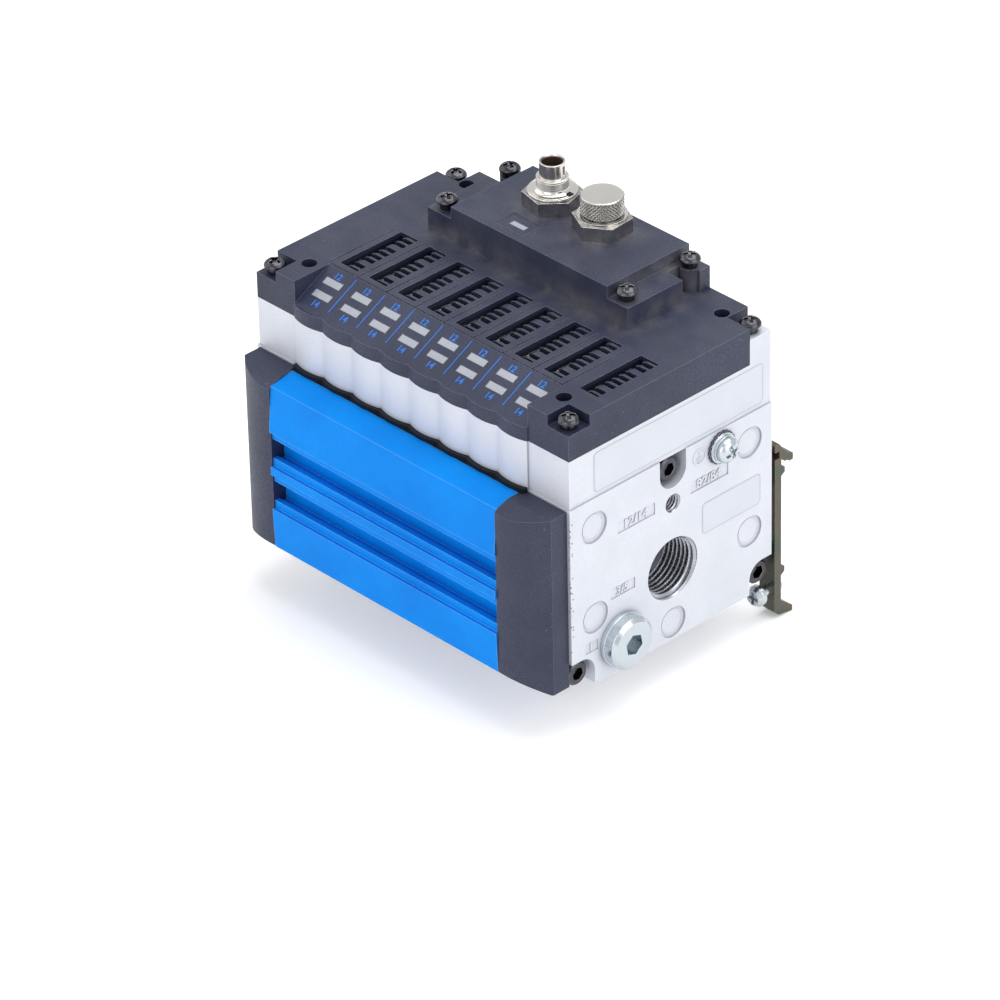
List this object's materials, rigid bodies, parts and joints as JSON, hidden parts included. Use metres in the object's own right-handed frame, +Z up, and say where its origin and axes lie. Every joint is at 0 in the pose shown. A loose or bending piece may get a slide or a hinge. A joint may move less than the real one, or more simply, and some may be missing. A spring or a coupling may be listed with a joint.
{
  "type": "pneumatic valve island",
  "caption": "Compact pneumatic valve island: cast slices between end plates, black electronics cover with override combs, blue front rail and rail brackets.",
  "frame": {"origin": "middle of the mounting rail's front face, where the bracket dimples bear on it, midway between the two brackets", "axes": "+X to the right seen from the front, towards the end plate with the ports; +Y back into the mounting rail; +Z up, towards the electronics cover"},
  "size_m": [0.1126, 0.086, 0.1085],
  "materials": {
    "cast_aluminium": "fine shot-blasted casting",
    "spool_metal": "ground",
    "black_plastic": "fine spark-eroded moulding",
    "button_plastic": "smooth moulding",
    "window_plastic": "translucent moulding",
    "insert_plastic": "smooth moulding",
    "board": "solder mask",
    "nickel": "nickel plated",
    "black_steel": "black oxide",
    "zinc_steel": "zinc plated",
    "chromated_steel": "olive chromated",
    "seal_rubber": "smooth",
    "blue_aluminium": "matt anodised"
  },
  "bodies": {
    "island": {"left_end_plate": "cast_aluminium", "right_end_plate": "cast_aluminium", "spool_bore_plugs": "zinc_steel", "electronics_cover": "black_plastic", "light_windows": "window_plastic", "interface_housing": "black_plastic", "circuit_board": "board", "cover_screws": "black_steel", "socket_shell_left": "nickel", "socket_shell_right": "nickel", "socket_nuts": "nickel", "socket_insert": "insert_plastic", "tie_screws": "black_steel", "supply_plug": "zinc_steel", "plug_seal": "zinc_steel", "earth_screw": "zinc_steel", "earth_washers": "zinc_steel", "rail_bracket_left": "chromated_steel", "rail_bracket_right": "chromated_steel", "bracket_screws": "zinc_steel", "port_gasket": "seal_rubber", "front_rail": "blue_aluminium", "rail_cap_left": "black_plastic", "rail_cap_right": "black_plastic", "valve_slice_1": "cast_aluminium", "valve_slice_2": "cast_aluminium", "valve_slice_3": "cast_aluminium", "valve_slice_4": "cast_aluminium", "valve_slice_5": "cast_aluminium", "valve_slice_6": "cast_aluminium", "valve_slice_7": "cast_aluminium", "valve_slice_8": "cast_aluminium"},
    "moving_spool_1": {"spool_1": "spool_metal"},
    "moving_spool_2": {"spool_2": "spool_metal"},
    "moving_spool_3": {"spool_3": "spool_metal"},
    "moving_spool_4": {"spool_4": "spool_metal"},
    "moving_spool_5": {"spool_5": "spool_metal"},
    "moving_spool_6": {"spool_6": "spool_metal"},
    "moving_spool_7": {"spool_7": "spool_metal"},
    "moving_spool_8": {"spool_8": "spool_metal"},
    "button_1_a": {"override_1_a": "button_plastic"},
    "button_1_b": {"override_1_b": "button_plastic"},
    "button_2_a": {"override_2_a": "button_plastic"},
    "button_2_b": {"override_2_b": "button_plastic"},
    "button_3_a": {"override_3_a": "button_plastic"},
    "button_3_b": {"override_3_b": "button_plastic"},
    "button_4_a": {"override_4_a": "button_plastic"},
    "button_4_b": {"override_4_b": "button_plastic"},
    "button_5_a": {"override_5_a": "button_plastic"},
    "button_5_b": {"override_5_b": "button_plastic"},
    "button_6_a": {"override_6_a": "button_plastic"},
    "button_6_b": {"override_6_b": "button_plastic"},
    "button_7_a": {"override_7_a": "button_plastic"},
    "button_7_b": {"override_7_b": "button_plastic"},
    "button_8_a": {"override_8_a": "button_plastic"},
    "button_8_b": {"override_8_b": "button_plastic"},
    "lock_left": {"rail_lock_screw_left": "zinc_steel"},
    "lock_right": {"rail_lock_screw_right": "zinc_steel"},
    "cap": {"protective_cap": "nickel"}
  },
  "joints": [
    {"name": "spool_1_slide", "type": "slide", "parent": "island", "child": "moving_spool_1", "axis": [0, 0, 1], "range_m": [0, 0.0026]},
    {"name": "spool_2_slide", "type": "slide", "parent": "island", "child": "moving_spool_2", "axis": [0, 0, 1], "range_m": [0, 0.0026]},
    {"name": "spool_3_slide", "type": "slide", "parent": "island", "child": "moving_spool_3", "axis": [0, 0, 1], "range_m": [0, 0.0026]},
    {"name": "spool_4_slide", "type": "slide", "parent": "island", "child": "moving_spool_4", "axis": [0, 0, 1], "range_m": [0, 0.0026]},
    {"name": "spool_5_slide", "type": "slide", "parent": "island", "child": "moving_spool_5", "axis": [0, 0, 1], "range_m": [0, 0.0026]},
    {"name": "spool_6_slide", "type": "slide", "parent": "island", "child": "moving_spool_6", "axis": [0, 0, 1], "range_m": [0, 0.0026]},
    {"name": "spool_7_slide", "type": "slide", "parent": "island", "child": "moving_spool_7", "axis": [0, 0, 1], "range_m": [0, 0.0026]},
    {"name": "spool_8_slide", "type": "slide", "parent": "island", "child": "moving_spool_8", "axis": [0, 0, 1], "range_m": [0, 0.0026]},
    {"name": "override_1_a_press", "type": "slide", "parent": "island", "child": "button_1_a", "axis": [0, 0, -1], "range_m": [0, 0.0012], "stiffness_N_per_m": 400},
    {"name": "override_1_b_press", "type": "slide", "parent": "island", "child": "button_1_b", "axis": [0, 0, -1], "range_m": [0, 0.0012], "stiffness_N_per_m": 400},
    {"name": "override_2_a_press", "type": "slide", "parent": "island", "child": "button_2_a", "axis": [0, 0, -1], "range_m": [0, 0.0012], "stiffness_N_per_m": 400},
    {"name": "override_2_b_press", "type": "slide", "parent": "island", "child": "button_2_b", "axis": [0, 0, -1], "range_m": [0, 0.0012], "stiffness_N_per_m": 400},
    {"name": "override_3_a_press", "type": "slide", "parent": "island", "child": "button_3_a", "axis": [0, 0, -1], "range_m": [0, 0.0012], "stiffness_N_per_m": 400},
    {"name": "override_3_b_press", "type": "slide", "parent": "island", "child": "button_3_b", "axis": [0, 0, -1], "range_m": [0, 0.0012], "stiffness_N_per_m": 400},
    {"name": "override_4_a_press", "type": "slide", "parent": "island", "child": "button_4_a", "axis": [0, 0, -1], "range_m": [0, 0.0012], "stiffness_N_per_m": 400},
    {"name": "override_4_b_press", "type": "slide", "parent": "island", "child": "button_4_b", "axis": [0, 0, -1], "range_m": [0, 0.0012], "stiffness_N_per_m": 400},
    {"name": "override_5_a_press", "type": "slide", "parent": "island", "child": "button_5_a", "axis": [0, 0, -1], "range_m": [0, 0.0012], "stiffness_N_per_m": 400},
    {"name": "override_5_b_press", "type": "slide", "parent": "island", "child": "button_5_b", "axis": [0, 0, -1], "range_m": [0, 0.0012], "stiffness_N_per_m": 400},
    {"name": "override_6_a_press", "type": "slide", "parent": "island", "child": "button_6_a", "axis": [0, 0, -1], "range_m": [0, 0.0012], "stiffness_N_per_m": 400},
    {"name": "override_6_b_press", "type": "slide", "parent": "island", "child": "button_6_b", "axis": [0, 0, -1], "range_m": [0, 0.0012], "stiffness_N_per_m": 400},
    {"name": "override_7_a_press", "type": "slide", "parent": "island", "child": "button_7_a", "axis": [0, 0, -1], "range_m": [0, 0.0012], "stiffness_N_per_m": 400},
    {"name": "override_7_b_press", "type": "slide", "parent": "island", "child": "button_7_b", "axis": [0, 0, -1], "range_m": [0, 0.0012], "stiffness_N_per_m": 400},
    {"name": "override_8_a_press", "type": "slide", "parent": "island", "child": "button_8_a", "axis": [0, 0, -1], "range_m": [0, 0.0012], "stiffness_N_per_m": 400},
    {"name": "override_8_b_press", "type": "slide", "parent": "island", "child": "button_8_b", "axis": [0, 0, -1], "range_m": [0, 0.0012], "stiffness_N_per_m": 400},
    {"name": "rail_lock_left", "type": "slide", "parent": "island", "child": "lock_left", "axis": [0, 1, 0], "range_m": [0, 0.0016]},
    {"name": "rail_lock_right", "type": "slide", "parent": "island", "child": "lock_right", "axis": [0, 1, 0], "range_m": [0, 0.0016]},
    {"name": "protective_cap_lift", "type": "slide", "parent": "island", "child": "cap", "axis": [0, 0, 1], "range_m": [0, 0.01]}
  ]
}
